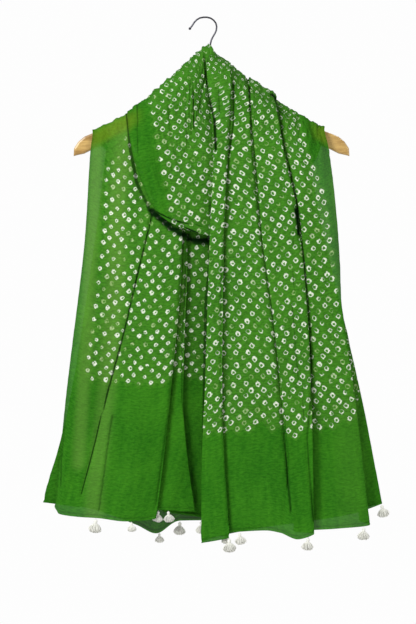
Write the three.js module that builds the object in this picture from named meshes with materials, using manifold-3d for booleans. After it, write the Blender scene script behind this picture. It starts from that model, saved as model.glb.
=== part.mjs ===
// A bandhani (tie-dyed) cotton stole, wound once round a wooden clothes hanger, with both
// tasselled ends hanging in front.
// Millimetres, +Z up, the front faces -Y. The origin is the hang point: the inside of the hook's top.
import * as THREE from "three";
import { mergeVertices } from "three/addons/utils/BufferGeometryUtils.js";
import Module from "manifold-3d";

const wasm = await Module();
wasm.setup();

// Driving sizes
const CLOTH_THICKNESS = 1;
const HOOK_OFFSET = 11.6; // the hanger's middle lies this far to the right of the hook's top
const WIRE_RADIUS = 1.4;
const WOOD_THICKNESS = 12;
const WOOD_BEVEL = 3;
const WOOD_TIP_X = 150; // beyond this the outline is also inset sideways
const SCREW_DEPTH = 30;
const SEAT_GAP = 0.3;
const TASSEL_STRANDS = 7;

// Finishes
const greenCotton = new THREE.MeshStandardMaterial({
  color: 0x3b8422,
  roughness: 0.85,
  metalness: 0,
  side: THREE.DoubleSide,
});
const whiteYarn = new THREE.MeshStandardMaterial({ color: 0xf1efe6, roughness: 0.9, metalness: 0 });
const paleWood = new THREE.MeshStandardMaterial({ color: 0xd9a661, roughness: 0.5, metalness: 0 });
const brightSteel = new THREE.MeshStandardMaterial({ color: 0x8d8d92, roughness: 0.3, metalness: 1 });

// A table's rows, each number under its column's name
const table = (columns, rows) =>
  rows.map((row) => Object.fromEntries(columns.map((name, i) => [name, row[i]])));

// The wooden bow's outline: its top edge and its underside, by the distance from its middle
const WOOD_TOP = table(
  ["x", "z"],
  [
    [0, -101],
    [22, -106],
    [60, -124],
    [100, -144],
    [135, -158],
    [156, -168],
    [180, -181],
    [194, -186],
    [207, -191.5],
    [216, -199],
    [222.5, -209],
    [223.5, -217],
  ],
);
const WOOD_UNDER = table(
  ["x", "z"],
  [
    [219.5, -221.5],
    [210, -219.5],
    [197, -213],
    [150, -195],
    [80, -162],
    [30, -143],
    [0, -140],
  ],
);

const lerp = (a, b, t) => a + (b - a) * t;

function heightOfWood(x) {
  const away = Math.abs(x);
  const next = WOOD_TOP.findIndex((point) => point.x >= away);
  if (next <= 0) return WOOD_TOP[next < 0 ? WOOD_TOP.length - 1 : 0].z;
  const [a, b] = [WOOD_TOP[next - 1], WOOD_TOP[next]];
  return lerp(a.z, b.z, (away - a.x) / (b.x - a.x));
}

// The left end, which hangs from the left arm. A row is a fold, from the outer selvedge to the inner
// one: cut is its place across the flat cloth, which is 800 wide. Then come its place on the wood's top
// edge (lift is the height above the wood), just under it, at the neckline, at the waist and at the hem.
const NECKLINE_Z = -359;
const WAIST_Z = -618;
const UNDER_ARM_DROP = 30;
const LEFT_END = table(
  ["cut", "arm", "lift", "underX", "underY", "neckX", "neckY", "waistX", "waistY", "hemX", "hemY", "hemZ"],
  [
    [0, -192, 2.8, -195, -11, -205, -19, -236, -26, -254, -8, -792],
    [22, -172, 2.8, -174, -14, -183, -26, -215, -33, -248, -24, -801],
    [57, -148, 3.4, -147, -16, -150, -29, -171, -30, -216, -32, -806],
    [87, -130, 5, -128, -18, -120, -31, -142, -38, -183, -35, -808],
    [129, -106, 10, -103, -20.5, -84, -33, -100, -38, -138, -43, -813],
    [174, -72, 18, -72, -22.5, -47, -32, -67, -36, -90, -38, -808],
    [211, -88, 15, -94, -19.5, -84, -26, -103, -28, -130, -28, -794],
    [303, -46, 15.5, -46, -18, -39, -24, -46, -27, -27, -29, -797],
    [349, -70, 12, -76, -16, -74, -18, -84, -19, -78, -20, -798],
    [429, -26, 12.5, -24, -14.5, 10, -16, 8, -16, 12, -13, -812],
    [470, -42, 11, -45, -13.6, -34, -13.4, -38, -12.3, -50, -9, -813],
    [516, -58, 9.2, -66, -12.6, -72, -11, -82, -9, -90, -5, -834],
    [554, -72, 8.4, -84, -11.8, -104, -10, -122, -7, -122, -3, -820],
    [625, -98, 6.6, -120, -11, -152, -9, -185, -7, -205, -3, -792],
    [684, -126, 3.6, -160, -10.2, -188, -9, -229, -8, -272, 0, -784],
    [800, -82, 4.6, -108, -8.8, -138, -5, -182, -2, -214, 4, -792],
  ],
);

// The right end, which hangs in front of everything from the right arm. top is its height on the arm.
const SHOULDER_Z = -214;
const RIGHT_END = table(
  [
    ...["cut", "arm", "top", "underX", "underY", "shoulderX", "shoulderY"],
    ...["neckX", "neckY", "waistX", "waistY", "hemX", "hemY", "hemZ"],
  ],
  [
    [0, 181, -178.6, 186, -15, 190, -24, 204, -40, 214, -36, 238, -34, -813],
    [17, 170, -172.6, 173, -22, 174, -34, 191, -50, 231, -46, 255, -47, -818],
    [67, 138, -155.5, 139, -30, 142, -40, 152, -55, 190, -52, 203, -56, -824],
    [133, 88, -121, 90, -32, 92, -39, 108, -50, 126, -42.5, 132, -46, -829],
    [170, 104, -123, 106, -37, 115, -48, 145, -61, 161, -58, 165, -62, -832],
    [209, 60, -97.5, 62, -39, 66, -49, 81, -62, 115, -59, 138, -62, -841],
    [238, 74, -114, 76, -33.5, 84, -41, 100, -53, 131, -49, 112, -56, -831],
    [293, 48, -90, 50, -36, 50, -43, 54, -54, 78, -52, 85, -56, -827],
    [363, 16, -67, 12, -35.5, 8, -42, 0, -51, 0, -46, 6, -50, -834],
    [391, 31, -74, 32, -42, 27, -49, 20, -62, 17, -58, 28, -62, -838],
    [431, 5, -56, -8, -40, 3, -47, -3, -59, -11, -54, -16, -56, -847],
    [453, 14, -72, 8, -29.5, 16, -39, 10, -47, 4, -42, 0, -45, -840],
    [538, 38, -88, 44, -28.5, 52, -37.5, 60, -46, 80, -37, 90, -37, -822],
    [609, 58, -106.5, 72, -27.5, 88, -36, 104, -45, 148, -34, 165, -33, -812],
    [676, 78, -121.5, 98, -26.5, 122, -34, 146, -43, 204, -30, 232, -29, -800],
    [729, 92, -127, 118, -25, 150, -31, 182, -38, 243, -27, 275, -26, -785],
    [800, 62, -112, 80, -24, 100, -31, 118, -39, 175, -26, 205, -23, -800],
  ],
);

// The turn round the neck, folded lengthwise into layers. A row's along runs from 0 at the low outer edge
// to 1 at the neck, on an arm and in a swag; under is its depth below the top layer, in layers.
const LAYERS = table(
  ["cut", "alongArm", "alongSwag", "under"],
  [
    [0, 0, 0, 0],
    [37, 0.24, 0.13, 0],
    [89, 0.48, 0.31, 0],
    [143, 0.66, 0.48, 0],
    [204, 0.8, 0.64, 0.1],
    [293, 0.9, 0.82, 0.3],
    [363, 0.95, 0.92, 0.5],
    [431, 1, 1, 0.9],
    [453, 0.98, 0.97, 1.8],
    [538, 0.8, 0.74, 2.4],
    [609, 0.66, 0.5, 2.7],
    [676, 0.56, 0.32, 2.8],
    [729, 0.5, 0.22, 3.0],
    [800, 0.7, 0.6, 4.4],
  ],
);
const LAYER_STEP = 2;

// The top layer's height on each arm where that turn crosses it
const RIGHT_CROSSING = table(
  ["x", "z"],
  [
    [126, -149.6],
    [92, -130],
    [62, -114.6],
    [38, -92.5],
    [16, -76],
  ],
);
const LEFT_CROSSING = table(
  ["x", "z"],
  [
    [-135, -152],
    [-96, -123],
    [-66, -96],
    [-36, -68],
    [-13, -48.5],
    [-5, -45],
  ],
);

// Where that turn passes: its low outer edge, its edge at the neck, and the way its top layer faces
const BEHIND_INNER = table(
  ["kind", "outer", "neck", "facing"],
  [
    ["arm", [-172, 11, -212], [-16, 23, -112], 1],
    ["swag", [-12, 26, -268], [0, 24, -104], 1],
    ["arm", [136, 16, -206], [18, 22, -102], 1],
  ],
);
const COWL = table(
  ["kind", "outer", "neck", "facing"],
  [
    ["arm", [112, -25, -232], [14, -21, -88], -1],
    ["swag", [10, -40, -354], [8, -26, -82], -1],
    ["swag", [-82, -42, -321], [7, -28, -76], -1],
    ["arm", [-130, -31, -205], [5, -31, -64], -1],
  ],
);
const BEHIND_OUTER = table(
  ["kind", "outer", "neck", "facing"],
  [
    ["arm", [-122, 28, -196], [-8, 38, -84], 1],
    ["swag", [16, 52, -308], [2, 46, -96], 1],
    ["arm", [170, 22, -226], [8, 38, -92], 1],
  ],
);

const point = (x, y, z) => new THREE.Vector3(x, y, z);

// A section is a list of { cut, at }: where the cloth lies at that place across its width.
const section = (rows, place) => rows.map((row) => ({ cut: row.cut, at: place(row) }));

// The cloth rounds an arm in three sections: before the wood (-1), on top (0) and behind it (1).
// Up to the snug height the layers lie round the wood, and above it they bridge the neck. Each
// millimetre of height sets a layer that much further out, and its sides that much further down.
const SNUG_HEIGHT = 20;
const SNUG = { out: 0.6, down: 0.5 };
const BRIDGE = { out: 0.25, down: -0.15 };
const OVER_BRIDGE = { ...BRIDGE, out: 0.65 }; // the right end goes over what is at the neck already
const SIDE_DROP = 4;
// In front, the cloth beside the hook leans over it from both sides
const LEFT_LEAN = 8;
const RIGHT_LEAN = 10;
const NECK_HALF_WIDTH = 40;
const SIDE_GAP = 0.2;
function roundArm(x, z, side, bridge = BRIDGE) {
  if (side === 0) return point(x, 0, z);
  const near = Math.min(z - heightOfWood(x), SNUG_HEIGHT);
  const far = z - heightOfWood(x) - near;
  const out = WOOD_THICKNESS / 2 + SIDE_GAP + SNUG.out * near + bridge.out * far;
  return point(x, side * out, z - SIDE_DROP - SNUG.down * near - bridge.down * far);
}

function heightOn(profile, x) {
  const last = profile.length - 1;
  let i = 1;
  while (i < last && (profile[i].x - x) * Math.sign(profile[0].x) > 0) i += 1;
  const [a, b] = [profile[i - 1], profile[i]];
  return lerp(a.z, b.z, (x - a.x) / (b.x - a.x));
}

const topOfLeft = (r) => heightOfWood(r.arm) + r.lift;
const leftArm = (side) => section(LEFT_END, (r) => roundArm(r.arm, topOfLeft(r), side));
const rightArm = (side) =>
  section(RIGHT_END, (r) => {
    const place = roundArm(r.arm, r.top, side, OVER_BRIDGE);
    const near = Math.max(0, 1 - r.arm / NECK_HALF_WIDTH) ** 2;
    return side < 0 ? place.setX(place.x - RIGHT_LEAN * near) : place;
  });
const shoulderHeight = (r) => Math.min(SHOULDER_Z, r.top - 1.5 * UNDER_ARM_DROP);

const crossing = (profile, side, lean = 0) =>
  section(LAYERS, (layer) => {
    const x = lerp(profile[0].x, profile.at(-1).x, layer.alongArm);
    const place = roundArm(x, heightOn(profile, x) - layer.under * LAYER_STEP, side);
    return place.setX(place.x + lean * layer.alongArm ** 4);
  });

const passing = (pass) =>
  section(LAYERS, (layer) => {
    const along = pass.kind === "arm" ? layer.alongArm : layer.alongSwag;
    const place = point(...pass.outer).lerp(point(...pass.neck), along);
    return place.setY(place.y - pass.facing * layer.under * LAYER_STEP);
  });

const SECTIONS = [
  section(LEFT_END, (r) => point(r.hemX, r.hemY, r.hemZ)),
  section(LEFT_END, (r) => point(r.waistX, r.waistY, WAIST_Z)),
  section(LEFT_END, (r) => point(r.neckX, r.neckY, NECKLINE_Z)),
  section(LEFT_END, (r) => point(r.underX, r.underY, topOfLeft(r) - UNDER_ARM_DROP)),
  leftArm(-1),
  leftArm(0),
  leftArm(1),
  ...BEHIND_INNER.map(passing),
  crossing(RIGHT_CROSSING, 1),
  crossing(RIGHT_CROSSING, 0),
  crossing(RIGHT_CROSSING, -1),
  ...COWL.map(passing),
  crossing(LEFT_CROSSING, -1, LEFT_LEAN),
  crossing(LEFT_CROSSING, 0),
  crossing(LEFT_CROSSING, 1),
  ...BEHIND_OUTER.map(passing),
  rightArm(1),
  rightArm(0),
  rightArm(-1),
  section(RIGHT_END, (r) => point(r.underX, r.underY, r.top - UNDER_ARM_DROP)),
  section(RIGHT_END, (r) => point(r.shoulderX, r.shoulderY, shoulderHeight(r))),
  section(RIGHT_END, (r) => point(r.neckX, r.neckY, NECKLINE_Z)),
  section(RIGHT_END, (r) => point(r.waistX, r.waistY, WAIST_Z)),
  section(RIGHT_END, (r) => point(r.hemX, r.hemY, r.hemZ)),
];
const LEFT_ARM = 5;
const RIGHT_ARM = SECTIONS.length - 7;

// A smooth curve through knots at uneven distances, which never swings past a knot
function smooth(knots, values, at) {
  let i = 0;
  while (i < knots.length - 2 && at > knots[i + 1]) i += 1;
  const rise = (j, axis) => (values[j + 1][axis] - values[j][axis]) / (knots[j + 1] - knots[j]);
  const slope = (j, axis) => {
    if (j === 0) return rise(0, axis);
    if (j === knots.length - 1) return rise(j - 1, axis);
    const [before, after] = [rise(j - 1, axis), rise(j, axis)];
    return before * after > 0 ? (2 * before * after) / (before + after) : 0;
  };
  const step = knots[i + 1] - knots[i];
  const t = (at - knots[i]) / step;
  const curve = (axis) =>
    values[i][axis] * (2 * t ** 3 - 3 * t ** 2 + 1) +
    values[i + 1][axis] * (3 * t ** 2 - 2 * t ** 3) +
    step * (slope(i, axis) * (t ** 3 - 2 * t ** 2 + t) + slope(i + 1, axis) * (t ** 3 - t ** 2));
  return point(curve("x"), curve("y"), curve("z"));
}

const acrossSection = (rows, cut) =>
  smooth(
    rows.map((row) => row.cut),
    rows.map((row) => row.at),
    cut,
  );

// The cloth's middle surface: along counts sections from the left hem, cut is the place across the width
function clothPoint(along, cut) {
  const places = SECTIONS.map((rows) => acrossSection(rows, cut));
  const knots = [0];
  for (let i = 1; i < places.length; i += 1)
    knots.push(knots[i - 1] + Math.sqrt(places[i].distanceTo(places[i - 1])) + 0.01);
  const whole = Math.min(Math.floor(along), places.length - 2);
  return smooth(knots, places, lerp(knots[whole], knots[whole + 1], along - whole));
}

// Rows of the mesh: more where the cloth bends over an arm
const STEPS_PER_SECTION = [
  2, 2, 2, 1, 2, 1, 1, 2, 2, 1, 1, 1, 2, 3, 2, 3, 2, 2, 2, 1, 3, 3, 1, 2, 2, 1, 2, 2, 3, 3,
];
const STEPS_PER_FOLD = 3;

function rowPlaces() {
  const places = [];
  for (let i = 0; i < SECTIONS.length - 1; i += 1)
    for (let k = 0; k < STEPS_PER_SECTION[i]; k += 1) places.push(i + k / STEPS_PER_SECTION[i]);
  return [...places, SECTIONS.length - 1];
}

// Columns of the mesh: they follow the left end's folds at one end and the right end's at the other
function columnCuts(folds, count) {
  const steps = (folds.length - 1) * STEPS_PER_FOLD;
  const cuts = Array.from({ length: steps + 1 }, (_, i) => {
    const fold = Math.min(Math.floor(i / STEPS_PER_FOLD), folds.length - 2);
    return lerp(folds[fold].cut, folds[fold + 1].cut, i / STEPS_PER_FOLD - fold);
  });
  return Array.from({ length: count + 1 }, (_, i) => {
    const place = (i / count) * steps;
    const low = Math.min(Math.floor(place), steps - 1);
    return lerp(cuts[low], cuts[low + 1], place - low);
  });
}

const COLUMNS = (RIGHT_END.length - 1) * STEPS_PER_FOLD;
const leftCuts = columnCuts(LEFT_END, COLUMNS);
const rightCuts = columnCuts(RIGHT_END, COLUMNS);

function clothGrid() {
  return rowPlaces().map((along) => {
    const share = THREE.MathUtils.smoothstep(along, LEFT_ARM, RIGHT_ARM);
    return leftCuts.map((cut, i) => clothPoint(along, lerp(cut, rightCuts[i], share)));
  });
}

const clothRows = clothGrid();

const heading = (from, to) => to.clone().sub(from).normalize();

// A closed solid of even thickness about a grid of points
function thickened(grid, thickness) {
  const rows = grid.length;
  const columns = grid[0].length;
  const { clamp } = THREE.MathUtils;
  const at = (i, j) => grid[clamp(i, 0, rows - 1)][clamp(j, 0, columns - 1)];
  const positions = [];
  for (const side of [1, -1])
    for (let i = 0; i < rows; i += 1)
      for (let j = 0; j < columns; j += 1) {
        const down = heading(at(i, j), at(i + 1, j)).add(heading(at(i - 1, j), at(i, j)));
        const across = heading(at(i, j), at(i, j + 1)).add(heading(at(i, j - 1), at(i, j)));
        const normal = down.cross(across).normalize();
        positions.push(...at(i, j).clone().addScaledVector(normal, (side * thickness) / 2).toArray());
      }
  const index = [];
  const under = rows * columns;
  const quad = (a, b, c, d) => index.push(a, b, c, a, c, d);
  for (let i = 0; i < rows - 1; i += 1)
    for (let j = 0; j < columns - 1; j += 1) {
      const a = i * columns + j;
      quad(a, a + columns, a + columns + 1, a + 1);
      quad(under + a, under + a + 1, under + a + columns + 1, under + a + columns);
    }
  for (let i = 0; i < rows - 1; i += 1) {
    const left = i * columns;
    const right = left + columns - 1;
    quad(left, under + left, under + left + columns, left + columns);
    quad(right, right + columns, under + right + columns, under + right);
  }
  for (let j = 0; j < columns - 1; j += 1) {
    const last = (rows - 1) * columns + j;
    quad(j, j + 1, under + j + 1, under + j);
    quad(last, under + last, under + last + 1, last + 1);
  }
  const geometry = new THREE.BufferGeometry();
  geometry.setAttribute("position", new THREE.Float32BufferAttribute(positions, 3));
  geometry.setIndex(index);
  geometry.computeVertexNormals();
  return geometry;
}

function named(name, geometry, material) {
  const mesh = new THREE.Mesh(geometry, material);
  mesh.name = name;
  return mesh;
}

function toSolid(geometry) {
  const bare = geometry.clone();
  bare.deleteAttribute("normal");
  bare.deleteAttribute("uv");
  const merged = mergeVertices(bare, 1e-3);
  return new wasm.Manifold(
    new wasm.Mesh({
      numProp: 3,
      vertProperties: merged.attributes.position.array,
      triVerts: new Uint32Array(merged.index.array),
    }),
  );
}

function toGeometry(solid) {
  const mesh = solid.getMesh();
  const geometry = new THREE.BufferGeometry();
  geometry.setAttribute("position", new THREE.BufferAttribute(mesh.vertProperties, 3));
  geometry.setIndex(new THREE.BufferAttribute(mesh.triVerts, 1));
  geometry.computeVertexNormals();
  return geometry;
}

// The wooden bow, with a hole for the hook's screw
function hangerBow() {
  const half = [...WOOD_TOP, ...WOOD_UNDER];
  const mirrored = half.slice(1, -1).reverse();
  const outline = new THREE.Shape();
  outline.moveTo(0, WOOD_TOP[0].z - WOOD_BEVEL);
  const inset = (p) => [
    p.x - (p.x > WOOD_TIP_X ? WOOD_BEVEL : 0),
    p.z + (WOOD_UNDER.includes(p) ? WOOD_BEVEL : -WOOD_BEVEL),
  ];
  for (const p of half.slice(1)) outline.lineTo(...inset(p));
  for (const p of mirrored) {
    const [x, z] = inset(p);
    outline.lineTo(-x, z);
  }
  const board = new THREE.ExtrudeGeometry(outline, {
    depth: WOOD_THICKNESS - 2 * WOOD_BEVEL,
    bevelThickness: WOOD_BEVEL,
    bevelSize: WOOD_BEVEL,
    bevelSegments: 2,
  });
  board.translate(0, 0, -(WOOD_THICKNESS - 2 * WOOD_BEVEL) / 2).rotateX(Math.PI / 2);
  const holeRadius = WIRE_RADIUS + SEAT_GAP;
  const screwHole = new THREE.CylinderGeometry(holeRadius, holeRadius, SCREW_DEPTH * 2, 16);
  screwHole.rotateX(Math.PI / 2).translate(SHANK_X, 0, WOOD_TOP[0].z);
  return toGeometry(toSolid(board).subtract(toSolid(screwHole)));
}

// The wire hook: a straight shank, a bend and a small ball at the tip
const SHANK_X = -1;
const HOOK_BEND = table(
  ["x", "z"],
  [
    [SHANK_X, -60],
    [-2, -44],
    [0.5, -33.5],
    [5.5, -25],
    [8.3, -17],
    [7.2, -8.5],
    [1.5, -1.8],
    [-5, 1],
    [-HOOK_OFFSET, WIRE_RADIUS],
    [-19.5, 0],
    [-26.5, -5.2],
    [-31.2, -12.2],
    [-35, -17],
  ],
);
const HOOK_BALL_RADIUS = 2.3;

function wireHook() {
  const route = [
    point(SHANK_X, 0, WOOD_TOP[0].z - SCREW_DEPTH + SEAT_GAP),
    point(SHANK_X, 0, WOOD_TOP[0].z),
    ...HOOK_BEND.map((bend) => point(bend.x, 0, bend.z)),
  ];
  const round = new THREE.Shape().absarc(0, 0, WIRE_RADIUS, 0, 2 * Math.PI);
  const wire = new THREE.ExtrudeGeometry(round, {
    steps: 30,
    curveSegments: 5,
    extrudePath: new THREE.CatmullRomCurve3(route, false, "centripetal"),
  });
  const ball = new THREE.SphereGeometry(HOOK_BALL_RADIUS, 8, 6);
  ball.translate(...route.at(-1).toArray());
  return toGeometry(toSolid(wire).add(toSolid(ball)));
}

// Tassels, by the end they hang from and their place across the width. lean is sideways, in degrees,
// and size is beside the longest ones.
const TASSELS = table(
  ["end", "cut", "lean", "size"],
  [
    ["left", 84, -6, 1],
    ["left", 136, 4, 0.7],
    ["left", 252, -8, 0.8],
    ["left", 262, 8, 0.8],
    ["left", 451, 2, 0.9],
    ["left", 471, -3, 0.95],
    ["left", 509, 0, 0.7],
    ["right", 34, -4, 0.9],
    ["right", 189, -5, 0.9],
    ["right", 325, 9, 0.85],
    ["right", 338, -8, 0.75],
    ["right", 391, 3, 1],
    ["right", 600, 0, 0.65],
    ["right", 727, 12, 0.9],
  ],
);
const TASSEL_LENGTH = 22;
const TASSEL_GAP = 0.75; // its thread's end lies this far below the hem's middle
const SHORT_SPREAD = 5.3; // the strands' tips lie this far from the middle, in turn
const LONG_SPREAD = 8.5;
const STRAND_TOP = { z: -7, spread: 1.1, radius: 0.85 };
const STRAND_TIP_RADIUS = 1.4;
// The head's outline, from its underside up to the thread that ties it to the hem
const TASSEL_HEAD = table(
  ["radius", "z"],
  [
    [0, -9.5],
    [2.6, -9],
    [1.9, -6.6],
    [3, -4.2],
    [2.1, -2.2],
    [0.7, -1.4],
    [0.7, 0],
    [0, 0],
  ],
);

// A tassel that hangs from its own origin: a bound head, and strands that spread below it
function tassel(turn) {
  const outline = TASSEL_HEAD.map((row) => new THREE.Vector2(row.radius, row.z));
  let solid = toSolid(new THREE.LatheGeometry(outline, 5).rotateX(Math.PI / 2));
  for (let i = 0; i < TASSEL_STRANDS; i += 1) {
    const angle = turn + (i * 2 * Math.PI) / TASSEL_STRANDS;
    const away = point(Math.cos(angle), Math.sin(angle), 0);
    const root = away.clone().multiplyScalar(STRAND_TOP.spread).setZ(STRAND_TOP.z);
    const tip = away.multiplyScalar(i % 2 ? LONG_SPREAD : SHORT_SPREAD).setZ((i % 3) - TASSEL_LENGTH);
    const length = root.distanceTo(tip);
    const strand = new THREE.CylinderGeometry(STRAND_TOP.radius, STRAND_TIP_RADIUS, length, 3);
    strand.translate(0, -length / 2, 0);
    strand.applyQuaternion(new THREE.Quaternion().setFromUnitVectors(point(0, -1, 0), heading(root, tip)));
    strand.translate(...root.toArray());
    solid = solid.add(toSolid(strand));
  }
  return toGeometry(solid);
}

// The place on a hem where a tassel is tied
function onHem(end, cut) {
  const [hem, cuts] = end === "left" ? [clothRows[0], leftCuts] : [clothRows.at(-1), rightCuts];
  const next = cuts.findIndex((place) => place >= cut);
  return hem[next - 1].clone().lerp(hem[next], (cut - cuts[next - 1]) / (cuts[next] - cuts[next - 1]));
}

function tassels() {
  const group = new THREE.Group();
  const counts = { left: 0, right: 0 };
  for (const row of TASSELS) {
    counts[row.end] += 1;
    const made = named(`tassel_${row.end}_${counts[row.end]}`, tassel(row.cut), whiteYarn);
    const hem = onHem(row.end, row.cut);
    made.position.copy(hem).setZ(hem.z - TASSEL_GAP);
    made.rotation.y = THREE.MathUtils.degToRad(-row.lean);
    made.scale.setScalar(row.size);
    group.add(made);
  }
  return group;
}

const part = new THREE.Group();
const hung = new THREE.Group();
hung.position.x = HOOK_OFFSET;
hung.add(
  named("stole", thickened(clothRows, CLOTH_THICKNESS), greenCotton),
  named("hanger_bow", hangerBow(), paleWood),
  named("hanger_hook", wireHook(), brightSteel),
  tassels(),
);
part.add(hung);

export default part;
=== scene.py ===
import math

import bpy
import numpy as np
from mathutils import Matrix, Vector


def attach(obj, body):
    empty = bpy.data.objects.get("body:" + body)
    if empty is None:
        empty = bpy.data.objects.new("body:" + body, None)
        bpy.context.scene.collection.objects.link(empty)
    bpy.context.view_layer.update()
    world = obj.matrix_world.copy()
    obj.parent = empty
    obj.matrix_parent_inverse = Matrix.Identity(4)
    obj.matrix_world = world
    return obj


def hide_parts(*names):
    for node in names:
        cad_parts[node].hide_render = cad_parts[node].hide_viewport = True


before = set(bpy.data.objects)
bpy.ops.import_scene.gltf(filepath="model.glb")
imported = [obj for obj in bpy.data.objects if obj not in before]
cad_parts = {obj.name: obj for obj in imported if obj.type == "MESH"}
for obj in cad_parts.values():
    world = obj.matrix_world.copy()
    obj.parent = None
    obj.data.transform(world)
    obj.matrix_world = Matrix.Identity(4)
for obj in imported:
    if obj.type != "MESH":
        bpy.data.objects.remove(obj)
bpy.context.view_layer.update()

mm = 0.001
hookOffset = 11.6
flatWidth = 800


def table(names, rows):
    return [dict(zip(names.split(), row)) for row in rows]


# The cloth's course, as in the solids. A row is a fold, from the outer selvedge to the inner one.
woodTop = table(
    "x z",
    [
        [0, -101],
        [22, -106],
        [60, -124],
        [100, -144],
        [135, -158],
        [156, -168],
        [180, -181],
        [194, -186],
        [207, -191.5],
        [216, -199],
        [222.5, -209],
        [223.5, -217],
    ],
)
leftEnd = table(
    "cut arm lift underX underY neckX neckY waistX waistY hemX hemY hemZ",
    [
        [0, -192, 2.8, -195, -11, -205, -19, -236, -26, -254, -8, -792],
        [22, -172, 2.8, -174, -14, -183, -26, -215, -33, -248, -24, -801],
        [57, -148, 3.4, -147, -16, -150, -29, -171, -30, -216, -32, -806],
        [87, -130, 5, -128, -18, -120, -31, -142, -38, -183, -35, -808],
        [129, -106, 10, -103, -20.5, -84, -33, -100, -38, -138, -43, -813],
        [174, -72, 18, -72, -22.5, -47, -32, -67, -36, -90, -38, -808],
        [211, -88, 15, -94, -19.5, -84, -26, -103, -28, -130, -28, -794],
        [303, -46, 15.5, -46, -18, -39, -24, -46, -27, -27, -29, -797],
        [349, -70, 12, -76, -16, -74, -18, -84, -19, -78, -20, -798],
        [429, -26, 12.5, -24, -14.5, 10, -16, 8, -16, 12, -13, -812],
        [470, -42, 11, -45, -13.6, -34, -13.4, -38, -12.3, -50, -9, -813],
        [516, -58, 9.2, -66, -12.6, -72, -11, -82, -9, -90, -5, -834],
        [554, -72, 8.4, -84, -11.8, -104, -10, -122, -7, -122, -3, -820],
        [625, -98, 6.6, -120, -11, -152, -9, -185, -7, -205, -3, -792],
        [684, -126, 3.6, -160, -10.2, -188, -9, -229, -8, -272, 0, -784],
        [800, -82, 4.6, -108, -8.8, -138, -5, -182, -2, -214, 4, -792],
    ],
)
rightEnd = table(
    "cut arm top underX underY shoulderX shoulderY neckX neckY waistX waistY hemX hemY hemZ",
    [
        [0, 181, -178.6, 186, -15, 190, -24, 204, -40, 214, -36, 238, -34, -813],
        [17, 170, -172.6, 173, -22, 174, -34, 191, -50, 231, -46, 255, -47, -818],
        [67, 138, -155.5, 139, -30, 142, -40, 152, -55, 190, -52, 203, -56, -824],
        [133, 88, -121, 90, -32, 92, -39, 108, -50, 126, -42.5, 132, -46, -829],
        [170, 104, -123, 106, -37, 115, -48, 145, -61, 161, -58, 165, -62, -832],
        [209, 60, -97.5, 62, -39, 66, -49, 81, -62, 115, -59, 138, -62, -841],
        [238, 74, -114, 76, -33.5, 84, -41, 100, -53, 131, -49, 112, -56, -831],
        [293, 48, -90, 50, -36, 50, -43, 54, -54, 78, -52, 85, -56, -827],
        [363, 16, -67, 12, -35.5, 8, -42, 0, -51, 0, -46, 6, -50, -834],
        [391, 31, -74, 32, -42, 27, -49, 20, -62, 17, -58, 28, -62, -838],
        [431, 5, -56, -8, -40, 3, -47, -3, -59, -11, -54, -16, -56, -847],
        [453, 14, -72, 8, -29.5, 16, -39, 10, -47, 4, -42, 0, -45, -840],
        [538, 38, -88, 44, -28.5, 52, -37.5, 60, -46, 80, -37, 90, -37, -822],
        [609, 58, -106.5, 72, -27.5, 88, -36, 104, -45, 148, -34, 165, -33, -812],
        [676, 78, -121.5, 98, -26.5, 122, -34, 146, -43, 204, -30, 232, -29, -800],
        [729, 92, -127, 118, -25, 150, -31, 182, -38, 243, -27, 275, -26, -785],
        [800, 62, -112, 80, -24, 100, -31, 118, -39, 175, -26, 205, -23, -800],
    ],
)
layers = table(
    "cut alongArm alongSwag under",
    [
        [0, 0, 0, 0],
        [37, 0.24, 0.13, 0],
        [89, 0.48, 0.31, 0],
        [143, 0.66, 0.48, 0],
        [204, 0.8, 0.64, 0.1],
        [293, 0.9, 0.82, 0.3],
        [363, 0.95, 0.92, 0.5],
        [431, 1, 1, 0.9],
        [453, 0.98, 0.97, 1.8],
        [538, 0.8, 0.74, 2.4],
        [609, 0.66, 0.5, 2.7],
        [676, 0.56, 0.32, 2.8],
        [729, 0.5, 0.22, 3.0],
        [800, 0.7, 0.6, 4.4],
    ],
)
rightCrossing = table(
    "x z",
    [
        [126, -149.6],
        [92, -130],
        [62, -114.6],
        [38, -92.5],
        [16, -76],
    ],
)
leftCrossing = table(
    "x z",
    [
        [-135, -152],
        [-96, -123],
        [-66, -96],
        [-36, -68],
        [-13, -48.5],
        [-5, -45],
    ],
)
behindInner = table(
    "kind outer neck facing",
    [
        ["arm", [-172, 11, -212], [-16, 23, -112], 1],
        ["swag", [-12, 26, -268], [0, 24, -104], 1],
        ["arm", [136, 16, -206], [18, 22, -102], 1],
    ],
)
cowl = table(
    "kind outer neck facing",
    [
        ["arm", [112, -25, -232], [14, -21, -88], -1],
        ["swag", [10, -40, -354], [8, -26, -82], -1],
        ["swag", [-82, -42, -321], [7, -28, -76], -1],
        ["arm", [-130, -31, -205], [5, -31, -64], -1],
    ],
)
behindOuter = table(
    "kind outer neck facing",
    [
        ["arm", [-122, 28, -196], [-8, 38, -84], 1],
        ["swag", [16, 52, -308], [2, 46, -96], 1],
        ["arm", [170, 22, -226], [8, 38, -92], 1],
    ],
)
necklineZ = -359
waistZ = -618
underArmDrop = 30
shoulderZ = -214
layerStep = 2
woodThickness = 12
shoulderDrop = 1.5 * underArmDrop
snug = {"height": 20, "out": 0.6, "down": 0.5, "drop": 4, "gap": 0.2}
bridge = {"out": 0.25, "overOut": 0.65, "down": -0.15}
lean = {"left": 8, "right": 10, "neckHalfWidth": 40}


def column(rows, name):
    return np.array([row[name] for row in rows], float)


def woodHeight(x):
    return np.interp(abs(x), column(woodTop, "x"), column(woodTop, "z"))


def section(rows, place):
    return column(rows, "cut"), np.array([place(row) for row in rows], float)


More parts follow.
